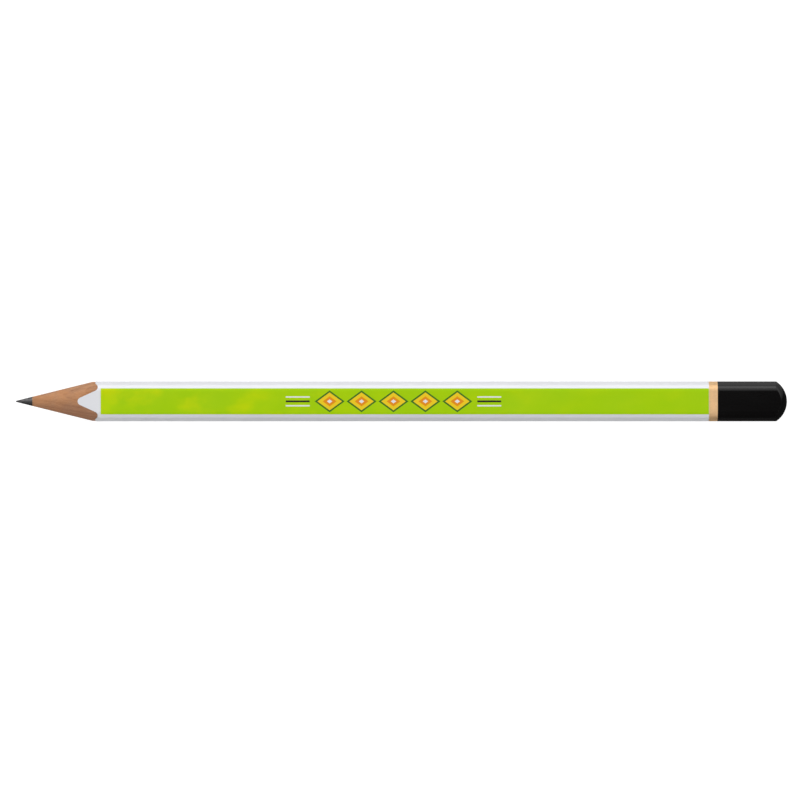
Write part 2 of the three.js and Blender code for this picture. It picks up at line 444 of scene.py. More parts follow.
    def hollow(self, opens: Callable[[Vector], bool], wall: float) -> None:
        """Deletes the faces at the openings, and gives the others a wall, inwards.

        Args:
            opens: tells by its normal whether a face lies at an opening.
            wall: the wall's thickness.
        """
        with self.editing("DESELECT"):
            bpy.ops.mesh.select_mode(type="FACE")
            mesh = bmesh.from_edit_mesh(self.body.data)
            for face in mesh.faces:
                face.select_set(opens(face.normal))
            bmesh.update_edit_mesh(self.body.data)
            bpy.ops.mesh.delete(type="FACE")
        self.modify("SOLIDIFY", thickness=wall, offset=-1, use_even_offset=True, use_quality_normals=True)

    def close_up(self) -> None:
        """Merges points that coincide, and turns the faces outwards."""
        with self.editing():
            bpy.ops.mesh.remove_doubles(threshold=self.WELD)
            bpy.ops.mesh.select_all(action="SELECT")
            bpy.ops.mesh.normals_make_consistent(inside=False)

    def raise_outline(self, half_height: float) -> None:
        """Fills a closed outline and extrudes it evenly above and below its plane.

        Args:
            half_height: how far it reaches on each side.
        """
        with self.editing():
            bpy.ops.mesh.remove_doubles(threshold=self.WELD)
            bpy.ops.mesh.select_all(action="SELECT")
            bpy.ops.mesh.edge_face_add()
            bpy.ops.transform.translate(value=(0, 0, -half_height))
            bpy.ops.mesh.extrude_region_move(TRANSFORM_OT_translate={"value": (0, 0, 2 * half_height)})
        self.close_up()

    def stand_up(self) -> None:
        """Turns the piece a quarter about X, so that +Y becomes +Z."""
        self.body.rotation_euler.x = math.pi / 2
        self.take_up()
        bpy.ops.object.transform_apply()

    def modify(self, kind: str, **settings: object) -> None:
        """Adds a modifier and applies it.

        Args:
            kind: Blender's name for the kind of modifier.
            settings: the modifier's own settings.
        """
        self.take_up()
        modifier = self.body.modifiers.new(kind, kind)
        for name, value in settings.items():
            setattr(modifier, name, value)
        bpy.ops.object.modifier_apply(modifier=modifier.name)

    def cut(self, tool: "Workpiece", operation: str) -> None:
        """Cuts with a tool, which stays: INTERSECT keeps what is inside it, DIFFERENCE what is outside."""
        self.modify("BOOLEAN", solver="EXACT", operation=operation, object=tool.body)

    def discard(self) -> None:
        """Removes a cutting shape that is no longer needed."""
        bpy.data.objects.remove(self.body)

    def settle(self) -> None:
        """Brings the piece to metres at its place in the frame, and shades it."""
        self.body.scale = (MM, MM, MM)
        self.body.location = lead_tip()
        self.take_up()
        bpy.ops.object.transform_apply()
        bpy.ops.object.shade_smooth_by_angle(angle=self.CREASE)
        self.modify("WEIGHTED_NORMAL", keep_sharp=True)

    def dress(self, name: str, material: bpy.types.Material, slot: str, node: str) -> None:
        """Settles the piece in the place of its CAD node, with its name and its finish.

        Args:
            name: the piece's name.
            material: the finish.
            slot: the record's material slot; not used.
            node: the CAD node that the piece stands for.
        """
        self.settle()
        self.body.name = name
        self.body.data.name = name
        self.body.data.materials.clear()
        self.body.data.materials.append(material)
        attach(self.body, BODY)
        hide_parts(node)
        LOG.info("%s stands for %s with %d faces", self.body.name, node, len(self.body.data.polygons))


# Wiring of node trees


class Wiring:
    """Adds nodes to one tree and joins them."""

    def __init__(self, tree: bpy.types.NodeTree) -> None:
        """Takes the tree that is wired."""
        self.tree = tree

    def node(self, kind: str, inputs: Inputs | None = None, **settings: object) -> bpy.types.Node:
        """Adds a node.

        Args:
            kind: Blender's name for the kind of node, without its prefix.
            inputs: for each input, a value or the output that is joined to it.
            settings: the node's own settings.
        Returns:
            The new node.
        """
        made = self.tree.nodes.new("ShaderNode" + kind)
        for name, value in settings.items():
            setattr(made, name, value)
        for key, value in (inputs or {}).items():
            self.feed(made.inputs[key], value)
        return made

    def feed(self, target: Socket, value: object) -> None:
        """Joins an output to an input, or sets the input's own value.

        Args:
            target: the input.
            value: the output or the value.
        """
        if isinstance(value, Socket):
            self.tree.links.new(value, target)
        elif target.type == "RGBA" and len(value) == 3:
            target.default_value = (*value, 1)
        else:
            target.default_value = value

    def math(self, operation: str, *values: object) -> Socket:
        """The result of a Math node on values or outputs."""
        return self.node("Math", dict(enumerate(values)), operation=operation).outputs[0]

    def mixed(self, share: float, first: Socket, second: Socket) -> Socket:
        """A share of one value and the rest of another."""
        rest = self.math("MULTIPLY", second, 1 - share)
        return self.math("MULTIPLY_ADD", first, share, rest)

    def spread(
        self, value: Socket, low: object, high: object, to_low: float = 0.0, to_high: float = 1.0
    ) -> Socket:
        """Brings a value smoothly from one range to another.

        Args:
            value: the value.
            low: start of the first range.
            high: end of the first range.
            to_low: start of the second range.
            to_high: end of the second range.
        Returns:
            The new value, which stays within the second range.
        """
        keys = ("Value", "From Min", "From Max", "To Min", "To Max")
        inputs = dict(zip(keys, (value, low, high, to_low, to_high)))
        return self.node("MapRange", inputs, interpolation_type="SMOOTHSTEP").outputs[0]

    def ranged(self, share: Socket, low: float, high: float = 1.0) -> Socket:
        """A share from 0 to 1, brought to a range."""
        return self.spread(share, 0.0, 1.0, low, high)

    def blend(self, share: object, first: object, second: object) -> Socket:
        """A colour between two, by a share from 0 to 1."""
        # The node has its two colours in inputs 6 and 7, and the result in output 2.
        return self.node("Mix", {0: share, 6: first, 7: second}, data_type="RGBA").outputs[2]

    def axes(self, place: Socket) -> bpy.types.NodeOutputs:
        """The three coordinates of a place."""
        return self.node("SeparateXYZ", {"Vector": place}).outputs

    def stretched(self, place: Socket, along: float, across: float) -> Socket:
        """Coordinates scaled along X and across it."""
        return self.node("Mapping", {"Vector": place, "Scale": (along, across, across)}).outputs[0]

    def noise(self, place: Socket, scale: object, detail: float = 2.0, roughness: float = 0.5) -> Socket:
        """The value of a noise texture."""
        inputs = {"Vector": place, "Scale": scale, "Detail": detail, "Roughness": roughness}
        return self.node("TexNoise", inputs).outputs[0]

    def bump(self, height: Socket, depth: float, strength: float) -> Socket:
        """A normal from a height, which stands for a depth in millimetres."""
        inputs = {"Height": height, "Distance": depth * MM, "Strength": strength}
        return self.node("Bump", inputs).outputs[0]


class Effect:
    """A shader node group that several finishes share."""

    def __init__(self, name: str, inputs: dict[str, float], outputs: list[str]) -> None:
        """Makes an empty group with a place to read, and its sockets.

        Args:
            name: the group's name.
            inputs: the values it takes, with their defaults.
            outputs: the values it puts out.
        """
        self.tree = bpy.data.node_groups.new(name, "ShaderNodeTree")
        self.wiring = Wiring(self.tree)
        self.tree.interface.new_socket("Place", in_out="INPUT", socket_type="NodeSocketVector")
        for key, value in inputs.items():
            socket = self.tree.interface.new_socket(key, in_out="INPUT", socket_type="NodeSocketFloat")
            socket.default_value = value
        for key in outputs:
            self.tree.interface.new_socket(key, in_out="OUTPUT", socket_type="NodeSocketFloat")
        self.entry = self.tree.nodes.new("NodeGroupInput").outputs
        self.exit = self.tree.nodes.new("NodeGroupOutput").inputs

    def use(self, wiring: Wiring, place: Socket, **values: float) -> bpy.types.NodeOutputs:
        """Places the group in a material, over coordinates in millimetres, and gives its outputs."""
        return wiring.node("Group", {"Place": place, **values}, node_tree=self.tree).outputs


class Effects:
    """The shared groups, each built once."""

    def __init__(self) -> None:
        """Builds every group."""
        self.fibres = self._fibres()
        self.mottle = self._mottle()
        self.skin = self._skin()
        self.blade_marks = self._blade_marks()

    @staticmethod
    def _fibres(fine_share: float = 0.55) -> Effect:
        """Long streaks along X: a broad set and a fine set laid over it.

        Args:
            fine_share: how much of the fine set shows.
        Returns:
            The group.
        """
        effect = Effect("long_fibres", {"Width": 0.4, "Length": 18.0}, ["Streak"])
        wiring = effect.wiring
        split = wiring.axes(effect.entry["Place"])
        along = wiring.math("DIVIDE", split[0], effect.entry["Length"])
        across = [wiring.math("DIVIDE", axis, effect.entry["Width"]) for axis in split[1:]]
        place = wiring.node("CombineXYZ", {"X": along, "Y": across[0], "Z": across[1]}).outputs[0]
        broad = wiring.noise(place, scale=0.35, detail=3.0, roughness=0.55)
        fine = wiring.noise(place, scale=1.3, detail=2.0, roughness=0.6)
        both = wiring.mixed(fine_share, fine, broad)
        wiring.feed(effect.exit["Streak"], wiring.spread(both, low=0.36, high=0.64))
        return effect

    @staticmethod
    def _mottle() -> Effect:
        """Patches of a given size, the softer the further apart their low and high values are.

        Returns:
            The group.
        """
        effect = Effect("soft_mottle", {"Size": 10.0, "Low": 0.36, "High": 0.68}, ["Patch"])
        wiring = effect.wiring
        scale = wiring.math("DIVIDE", 1.0, effect.entry["Size"])
        cloud = wiring.noise(effect.entry["Place"], scale, detail=3.0)
        patch = wiring.spread(cloud, effect.entry["Low"], effect.entry["High"])
        wiring.feed(effect.exit["Patch"], patch)
        return effect

    @staticmethod
    def _skin() -> Effect:
        """The surface of a brushed or dipped coat: a fine orange peel, and smears of handling.

        Returns:
            The group.
        """
        effect = Effect("lacquer_skin", {"Peel": 0.8, "Smear": 14.0}, ["Height", "Dull"])
        wiring = effect.wiring
        place = effect.entry["Place"]
        peel_scale = wiring.math("DIVIDE", 1.0, effect.entry["Peel"])
        smear_scale = wiring.math("DIVIDE", 1.0, effect.entry["Smear"])
        peel = wiring.noise(place, peel_scale, detail=1.0, roughness=0.4)
        wiring.feed(effect.exit["Height"], peel)
        smear = wiring.noise(wiring.stretched(place, along=0.4, across=1.0), smear_scale)
        wiring.feed(effect.exit["Dull"], wiring.spread(smear, low=0.25, high=0.8))
        return effect

    @staticmethod
    def _blade_marks(waver_turns: float = 1.6) -> Effect:
        """The spiral that a sharpener's blade leaves on the cone, broken here and there.

        Args:
            waver_turns: how far the spiral strays, in turns.
        Returns:
            The group.
        """
        effect = Effect("blade_marks", {"Pitch": 0.7}, ["Height"])
        wiring = effect.wiring
        place = effect.entry["Place"]
        split = wiring.axes(place)
        angle = wiring.math("DIVIDE", wiring.math("ARCTAN2", split[1], split[2]), 2 * math.pi)
        waver = wiring.math("MULTIPLY", wiring.noise(place, scale=0.5, detail=3.0), waver_turns)
        turns = wiring.math("ADD", wiring.math("DIVIDE", split[0], effect.entry["Pitch"]), angle)
        phase = wiring.math("MULTIPLY", wiring.math("ADD", turns, waver), 2 * math.pi)
        # The sine runs from -1 to 1, and the ridge from 0 to 1.
        ridge = wiring.math("MULTIPLY_ADD", wiring.math("SINE", phase), 0.5, 0.5)
        broken = wiring.spread(wiring.noise(place, scale=0.9), low=0.35, high=0.65)
        wiring.feed(effect.exit["Height"], wiring.math("MULTIPLY", ridge, broken))
        return effect


# Finishes: gloss is a range of roughness, relief a depth in millimetres and its strength


class Finish:
    """A material under way: its wiring, its coordinates in millimetres and its shader."""

    def __init__(self, name: str, **fixed: object) -> None:
        """Starts the material.

        Args:
            name: the material's name.
            fixed: inputs of the shader that are the same all over, with _ for each space.
        """
        self.material = bpy.data.materials.new(name)
        self.material.use_nodes = True
        self.wiring = Wiring(self.material.node_tree)
        self.shader = self.material.node_tree.nodes["Principled BSDF"]
        for key, value in fixed.items():
            self.set(key, value)
        place = self.wiring.node("TexCoord").outputs["Object"]
        shift = -lead_tip() / MM
        mapping = {"Vector": place, "Location": shift, "Scale": (1 / MM, 1 / MM, 1 / MM)}
        self.place: Socket = self.wiring.node("Mapping", mapping).outputs[0]

    def set(self, key: str, value: object) -> None:
        """Sets or joins one input of the shader, named with _ for each space."""
        self.wiring.feed(self.shader.inputs[key.replace("_", " ")], value)

    def add(self, effect: Effect, **values: float) -> bpy.types.NodeOutputs:
        """Places a shared group with its own values here, and gives its outputs."""
        return effect.use(self.wiring, self.place, **values)


@dataclass(frozen=True)
class WoodFinish:
    """Cut softwood, orange-brown: fibres, growth rings, warm patches and the sharpener's marks.

    It has painted shade: it is darker towards the -Y side, away from the light.
    """

    effects: Effects
    pale: Colour = (0.46, 0.235, 0.116)
    brown: Colour = (0.29, 0.134, 0.068)
    warm: Colour = (0.52, 0.225, 0.08)
    # heart is the colour of the painted shade on the -Y side
    heart: Colour = (0.25, 0.105, 0.06)
    ring_share: float = 0.45
    warm_share: float = 0.45
    painted_shade_share: float = 0.55
    painted_shade_from: Place = (2.0, -7.0)
    pore_share: float = 0.35
    pore_edge: float = 0.35
    ring_gap: float = 2.6
    ring_waver: float = 5.0
    ring_middle: Triple = (0, -34, -52)
    ring_lean: Triple = (0, 0.045, -0.03)
    late_wood_from: float = 0.45
    gloss: Place = (0.72, 0.55)
    mark_share: float = 0.6
    relief: Place = (0.035, 0.6)

    def material(self) -> bpy.types.Material:
        """Builds the finish.

        Returns:
            The material.
        """
        finish = Finish("stained_softwood", Specular_IOR_Level=0.35)
        wiring = finish.wiring
        streak = finish.add(self.effects.fibres, Width=0.55, Length=22.0)["Streak"]
        pores = finish.add(self.effects.fibres, Width=0.16, Length=3.5)["Streak"]
        patch = finish.add(self.effects.mottle, Size=7.0)["Patch"]
        marks = finish.add(self.effects.blade_marks, Pitch=0.8)["Height"]
        grain = wiring.mixed(self.ring_share, self._growth_rings(wiring, finish.place), streak)
        colour = wiring.blend(grain, self.brown, self.pale)
        colour = wiring.blend(wiring.math("MULTIPLY", patch, self.warm_share), colour, self.warm)
        # Painted shade: the wood darkens towards the -Y side, away from the light.
        across = wiring.axes(finish.place)["Y"]
        painted_shade_side = wiring.spread(across, *self.painted_shade_from, 0.0, self.painted_shade_share)
        colour = wiring.blend(painted_shade_side, colour, self.heart)
        dark_pores = wiring.math("MULTIPLY", wiring.spread(pores, self.pore_edge, 0.0), self.pore_share)
        finish.set("Base_Color", wiring.blend(dark_pores, colour, self.brown))
        finish.set("Roughness", wiring.ranged(streak, *self.gloss))
        finish.set("Normal", wiring.bump(wiring.mixed(self.mark_share, marks, pores), *self.relief))
        return finish.material

    def _growth_rings(self, wiring: Wiring, place: Socket) -> Socket:
        """Growth rings about a heart far beside the pencil, slightly out of line with it.

        Args:
            wiring: the material's wiring.
            place: coordinates in millimetres.
        Returns:
            A value that falls slowly over each year and rises fast.
        """
        heart = {"Vector": place, "Location": self.ring_middle, "Rotation": self.ring_lean}
        split = wiring.axes(wiring.node("Mapping", heart).outputs[0])
        squares = [wiring.math("MULTIPLY", axis, axis) for axis in split[1:]]
        radius = wiring.math("SQRT", wiring.math("ADD", *squares))
        drift = wiring.noise(wiring.stretched(place, along=0.02, across=0.12), scale=1.0)
        waver = wiring.math("MULTIPLY", drift, self.ring_waver)
        years = wiring.math("DIVIDE", wiring.math("ADD", radius, waver), self.ring_gap)
        return wiring.spread(wiring.math("FRACT", years), 1.0, self.late_wood_from)


@dataclass(frozen=True)
class GraphiteFinish:
    """Sharpened graphite: dark grey, with a dull metallic sheen and fine marks round the cone.

    It has a painted sheen: it is lighter towards the +Y side, where the light comes from.
    """

    effects: Effects
    dark: Colour = (0.018, 0.0175, 0.019)
    # grey is the colour of the painted sheen on the +Y side
    grey: Colour = (0.125, 0.121, 0.124)
    patch_share: float = 0.6
    painted_sheen_from: Place = (-1.2, 1.0)
    painted_sheen_least: float = 0.45
    metal: Place = (0.35, 0.6)
    gloss: Place = (0.48, 0.36)
    relief: Place = (0.012, 0.7)

    def material(self) -> bpy.types.Material:
        """Builds the finish.

        Returns:
            The material.
        """
        finish = Finish("graphite")
        wiring = finish.wiring
        marks = finish.add(self.effects.blade_marks, Pitch=0.35)["Height"]
        streak = finish.add(self.effects.fibres, Width=0.2, Length=4.0)["Streak"]
        patch = finish.add(self.effects.mottle, Size=1.6)["Patch"]
        grain = wiring.mixed(self.patch_share, patch, streak)
        # Painted sheen: the base colour turns from dark to grey towards the +Y side, where the light comes
        # from.
        painted_sheen_side = wiring.spread(wiring.axes(finish.place)["Y"], *self.painted_sheen_from)
        painted_sheen = wiring.math("MULTIPLY", painted_sheen_side, wiring.ranged(grain, self.painted_sheen_least))
        finish.set("Base_Color", wiring.blend(painted_sheen, self.dark, self.grey))
        finish.set("Metallic", wiring.ranged(grain, *self.metal))
        finish.set("Roughness", wiring.ranged(marks, *self.gloss))
        finish.set("Normal", wiring.bump(marks, *self.relief))
        return finish.material


@dataclass(frozen=True)
class CoatFinish:
    """A dried coat: soft patches of two tones, the skin that it dried with and faint smears."""

    effects: Effects
    name: str
    deep: Colour
    face: Colour
    gloss: Place
    relief: Place
    reflection: float = 0.5
    patch_size: float = 26.0
    patch_edges: Place = (0.2, 0.85)
    peel: float = 1.1
    smear: float = 16.0

    def material(self) -> bpy.types.Material:
        """Builds the finish.

        Returns:
            The material.
        """
        finish = Finish(self.name, Specular_IOR_Level=self.reflection)
        wiring = finish.wiring
        low, high = self.patch_edges
        patch = finish.add(self.effects.mottle, Size=self.patch_size, Low=low, High=high)["Patch"]
        skin = finish.add(self.effects.skin, Peel=self.peel, Smear=self.smear)
        finish.set("Base_Color", wiring.blend(patch, self.deep, self.face))
        finish.set("Roughness", wiring.ranged(skin["Dull"], *self.gloss))
        finish.set("Normal", wiring.bump(skin["Height"], *self.relief))
        return finish.material


@dataclass(frozen=True)
class PrintFinish:
    """Printed film: a mottled green ground, and a chain of lozenges between pinstripes."""

    effects: Effects
    green: Colour = (0.335, 0.575, 0.004)
    lime: Colour = (0.43, 0.63, 0.003)
    straw: Colour = (0.54, 0.64, 0.002)
    deep_green: Colour = (0.045, 0.16, 0.02)
    yellow: Colour = (0.80, 0.56, 0.02)
    orange: Colour = (0.72, 0.26, 0.015)
    white: Colour = (0.74, 0.74, 0.74)
    ink: Colour = (0.02, 0.02, 0.022)
    chain_middle: float = 189.5
    lozenges: int = 5
    pitch: float = 16.0
    half_length: float = 7.5
    half_height: float = 5.5
    stripes_from: float = 42.0
    stripes_to: float = 54.0
    patchy_end: float = 44.0
    even_end: float = 200.0
    even_share: float = 0.25
    gloss: Place = (0.285, 0.4)
    relief: Place = (0.0015, 0.35)

    def material(self) -> bpy.types.Material:
        """Builds the finish.

        Returns:
            The material.
        """
        finish = Finish("printed_film", Specular_IOR_Level=0.15)
        wiring = finish.wiring
        split = wiring.axes(finish.place)
        colour = self._ground(wiring, finish.place, split[0])
        colour = self._design(wiring, colour, split[0], wiring.math("ABSOLUTE", split[1]))
        skin = finish.add(self.effects.skin, Peel=0.7, Smear=12.0)
        finish.set("Base_Color", colour)
        finish.set("Roughness", wiring.ranged(skin["Dull"], *self.gloss))
        finish.set("Normal", wiring.bump(skin["Height"], *self.relief))
        return finish.material

    def _ground(self, wiring: Wiring, place: Socket, along: Socket) -> Socket:
        """The mottled green, patchier near the point.

        Args:
            wiring: the material's wiring.
            place: coordinates in millimetres.
            along: the station.
        Returns:
            A colour.
        """
        cloud = self.effects.mottle.use(wiring, place, Size=14.0, Low=0.3, High=0.8)["Patch"]
        spread_out = wiring.stretched(place, along=0.8, across=1.3)
        spots = self.effects.mottle.use(wiring, spread_out, Size=11.0, Low=0.42, High=0.84)["Patch"]
        patchy = wiring.spread(along, self.patchy_end, self.even_end, 1.0, self.even_share)
        colour = wiring.blend(wiring.math("MULTIPLY", cloud, patchy), self.green, self.lime)
        return wiring.blend(wiring.math("MULTIPLY", spots, patchy), colour, self.straw)

    def _design(self, wiring: Wiring, colour: Socket, along: Socket, across: Socket) -> Socket:
        """The chain of lozenges and the pinstripes beside it.

        Args:
            wiring: the material's wiring.
            colour: the ground.
            along: the station.
            across: distance from the middle of the face.
        Returns:
            A colour.
        """
        away = wiring.math("ABSOLUTE", wiring.math("SUBTRACT", along, self.chain_middle))
        in_chain = wiring.math("LESS_THAN", away, self.lozenges * self.pitch / 2)
        beside_middle = wiring.math("PINGPONG", wiring.math("ADD", away, self.pitch), self.pitch / 2)
        lengthwise = wiring.math("DIVIDE", beside_middle, self.half_length)
        level = wiring.math("ADD", lengthwise, wiring.math("DIVIDE", across, self.half_height))
        bands = ((1.0, self.deep_green), (0.82, self.yellow), (0.46, self.orange), (0.18, self.white))
        for edge, tint in bands:
            inside = wiring.math("MULTIPLY", wiring.math("LESS_THAN", level, edge), in_chain)
            colour = wiring.blend(inside, colour, tint)
        beyond = wiring.math("GREATER_THAN", away, self.stripes_from)
        beside = wiring.math("MULTIPLY", beyond, wiring.math("LESS_THAN", away, self.stripes_to))
        for middle, half_width, tint in ((0.0, 0.45, self.ink), (2.2, 0.35, self.white)):
            on_stripe = wiring.math("COMPARE", across, middle, half_width)
            colour = wiring.blend(wiring.math("MULTIPLY", on_stripe, beside), colour, tint)
        return colour


@dataclass(frozen=True)
class FoilFinish:
    """Stamped gold foil: satin metal with a fine drawn grain."""

    effects: Effects
    gold: Colour = (0.90, 0.61, 0.33)
    bronze: Colour = (0.79, 0.53, 0.29)
    patch_share: float = 0.6
    metal: Place = (0.72, 0.84)
    gloss: Place = (0.72, 0.6)
    relief: Place = (0.006, 0.5)

    def material(self) -> bpy.types.Material:
        """Builds the finish.

        Returns:
            The material.
        """
        finish = Finish("stamped_gold_foil")
        wiring = finish.wiring
        grain = finish.add(self.effects.fibres, Width=0.12, Length=0.5)["Streak"]
        patch = finish.add(self.effects.mottle, Size=3.0)["Patch"]
        tone = wiring.mixed(self.patch_share, patch, grain)
        finish.set("Base_Color", wiring.blend(tone, self.bronze, self.gold))
        finish.set("Metallic", wiring.ranged(tone, *self.metal))
        finish.set("Roughness", wiring.ranged(grain, *self.gloss))
        finish.set("Normal", wiring.bump(grain, *self.relief))
        return finish.material


# Sub-assemblies


@dataclass
class Casing:
    """The two slats of wood, the lead between them and the glue."""

    barrel: Barrel
    point: SharpenedPoint
    effects: Effects
    length: float
    dome_rise: float = 5.9
    coats: float = 0.2
    bond: float = 0.14
    seam: float = 0.07
    past: float = 1.0

    @property
    def dome_radius(self) -> float:
        """Radius of the crown, to the outside of the coats."""
        reach = self.barrel.corner_reach
        return (reach**2 + self.dome_rise**2) / (2 * self.dome_rise)

    @property
    def dome_centre(self) -> float:
        """Station of the crown's centre."""
        return self.length - self.dome_radius

    @property
    def lead_radius(self) -> float:
        """Radius of the lead in the frame."""
        low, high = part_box("graphite_lead")
        return (high.y - low.y) / 2 / MM

    def crown(self, radius: float, inset: float) -> Strokes:
        """The strokes along a cylinder and over the crown to the axis.

        Args:
            radius: the cylinder's radius.
            inset: depth of the crown below the outside of the coats.
        Returns:
            The strokes.
        """
        ball = self.dome_radius - inset
        lift = math.asin(radius / ball)
        foot = (self.dome_centre + ball * math.cos(lift), radius)
        return [Line(foot), Arc((self.dome_centre, 0), -lift, Fineness.DOME.value)]

    def lathe(self, radius: float) -> Workpiece:
        """A sharpened and domed body of revolution, with a radius between the point and the crown."""
        strokes = self.point.profile(radius) + self.crown(radius, self.coats)
        return Workpiece.turned((0, 0), strokes)

    def slat(self, up: int, space: Workpiece) -> Workpiece:
        """Half of the wood, grooved for the lead, sharpened and domed.

        Args:
            up: 1 for the upper slat, -1 for the lower.
            space: what sharpening and doming leave.
        Returns:
            The new workpiece.
        """
        piece = Workpiece.bar(self.barrel, self.coats, (0, self.length))
        with piece.editing():
            piece.slice_off(Vector((0, 0, up * self.seam)), Vector((0, 0, -up)))
        start, end = -self.past, self.length + self.past
        radius = self.lead_radius + self.bond
        groove = Workpiece.turned((start, 0), [Line((start, radius)), Line((end, radius)), Line((end, 0))])
        piece.cut(groove, "DIFFERENCE")
        groove.discard()
        piece.cut(space, "INTERSECT")
        return piece

    def build(self) -> None:
        """Makes and dresses the slats, the lead and the glue."""
        wood = WoodFinish(self.effects).material()
        space = self.lathe(self.barrel.corner_reach + self.past)
        self.slat(1, space).dress("upper_slat_wood", wood, "slat_wood", "upper_slat")
        self.slat(-1, space).dress("lower_slat_wood", wood, "slat_wood", "lower_slat")
        space.discard()
        graphite = GraphiteFinish(self.effects).material()
        self.lathe(self.lead_radius).dress("lead_rod", graphite, "graphite", "graphite_lead")
        glue = CoatFinish(
            self.effects,
            name="dried_glue",
            deep=(0.25, 0.12, 0.055),
            face=(0.40, 0.20, 0.085),
            gloss=(0.35, 0.6),
            relief=(0.02, 0.5),
            patch_size=1.2,
            patch_edges=(0.36, 0.68),
            peel=0.3,
            smear=4.0,
        )
        dress_node("glue_seam", glue.material())


@dataclass
class Coats:
    """What covers the wood from the scallops to the ring: primer, white lacquer and the printed film."""

    barrel: Barrel
    point: SharpenedPoint
    effects: Effects
    lacquer: float = 0.1
    wood: float = 0.2
    film: float = 0.05
    film_gap: float = 0.02
    finger_span: float = 14.4
    finger_width: float = 4.1
    tongue_radius: float = 2.0
    side_radius: float = 1.2
    tongue_trim: float = 0.4
    finger_trim: float = 1.4
    side_dip: float = 1.4
    ridge_dip: float = 1.0
    past: float = 1.0

    @property
    def finger_end(self) -> float:
        """Station at which the fingers beside the broad faces end."""
        return self.point.at_radius(self.barrel.corner_reach - self.wood) + self.finger_trim

    @property
    def behind(self) -> float:
        """Station at which the cutting shapes end, behind the coats."""
        return node_span("white_lacquer")[1] + self.past

    def scalloped_space(self, rounds: list[Round]) -> Workpiece:
        """What one view of the scalloped edge leaves of the coats: all behind it and all beside it.

        Args:
            rounds: the edge's rounds, from +Y to -Y.
        Returns:
            The new workpiece, drawn from above and carried through the whole depth.
        """
        end = self.behind
        side = self.barrel.width / 2 + self.past
        outer = rounds[0].centre.y
        strokes: Strokes = [
            Line((-self.past, side)),
            Line((-self.past, outer)),
            *wave(rounds),
            Line((-self.past, -outer)),
            Line((-self.past, -side)),
            Line((end, -side)),
            Line((end, side)),
        ]
        space = Workpiece.traced((end, side), strokes)
        space.raise_outline(side)
        return space

    def broad_scallops(self) -> Workpiece:
        """The edge on the broad faces: a tongue between two fingers.

        Returns:
            The new workpiece.
        """
        across = self.finger_span / 2
        radius = self.finger_width / 2
        tip = self.point.at_radius(self.barrel.depth / 2 - self.wood) + self.tongue_trim
        rounds = [
            Round.finger(self.finger_end, across, radius),
            Round.tongue(tip, 0, self.tongue_radius),
            Round.finger(self.finger_end, -across, radius),
        ]
        return self.scalloped_space(rounds)

    def side_scallops(self) -> Workpiece:
        """The edge on the narrow sides: a finger on the ridge between two tongues and two fingers.

        Returns:
            The new workpiece.
        """
        edge = self.barrel.edge_height(self.finger_span / 2)
        flat = self.barrel.side_reach * math.sin(self.barrel.pitch)
        tip = self.finger_end - self.side_dip
        rounds = [
            Round.finger(self.finger_end, edge, self.side_radius),
            Round.tongue(tip, flat, self.side_radius),
            Round.finger(self.finger_end - self.ridge_dip, 0, self.side_radius),
            Round.tongue(tip, -flat, self.side_radius),
            Round.finger(self.finger_end, -edge, self.side_radius),
        ]
        space = self.scalloped_space(rounds)
        space.stand_up()
        return space

    def sharpened_space(self) -> Workpiece:
        """What sharpening leaves of the coats.

        Returns:
            The new workpiece.
        """
        reach = self.barrel.corner_reach + self.past
        strokes = [*self.point.profile(reach), Line((self.behind, reach)), Line((self.behind, 0))]
        return Workpiece.turned((0, 0), strokes)

    def white_coat(self) -> Workpiece:
        """The white lacquer: a six-sided tube, sharpened and cut back to the scallops.

        Returns:
            The new workpiece.
        """
        piece = Workpiece.bar(self.barrel, 0, (0, node_span("white_lacquer")[1]))
        piece.score(node_span("print_panel")[0])
        piece.hollow(lambda normal: abs(normal.x) > piece.FACING, self.lacquer)
        for tool in (self.sharpened_space(), self.broad_scallops(), self.side_scallops()):
            piece.cut(tool, "INTERSECT")
            tool.discard()
        return piece

    def printed_film(self) -> Workpiece:
        """The printed film, bent a little way round the edges of the upper broad face.

        Returns:
            The new workpiece.
        """
        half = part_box("print_panel")[1].y / MM
        rise = self.film + self.film_gap
        piece = Workpiece.bar(self.barrel, -rise, node_span("print_panel"))
        with piece.editing():
            for side in (1, -1):
                piece.slice_off(Vector((0, side * half, 0)), Vector((0, side, 0)))
        piece.hollow(lambda normal: normal.z < piece.FACING, self.film)
        return piece

    def build(self) -> None:
        """Makes and dresses the white lacquer and the film, and dresses the primer."""
        primer = CoatFinish(
            self.effects,
            name="chalky_primer",
            deep=(0.62, 0.59, 0.53),
            face=(0.74, 0.72, 0.67),
            gloss=(0.72, 0.88),
            relief=(0.02, 0.6),
            reflection=0.25,
            patch_size=2.5,
            patch_edges=(0.36, 0.68),
            peel=0.25,
            smear=6.0,
        )
        dress_node("primer_coat", primer.material())
        white = CoatFinish(
            self.effects,
            name="white_lacquer",
            deep=(0.715, 0.722, 0.757),
            face=(0.745, 0.752, 0.785),
            gloss=(0.22, 0.27),
            relief=(0.0007, 0.35),
        )
        self.white_coat().dress("white_coat", white.material(), "white_lacquer", "white_lacquer")
        green = PrintFinish(self.effects).material()
        self.printed_film().dress("printed_film", green, "green_print", "print_panel")


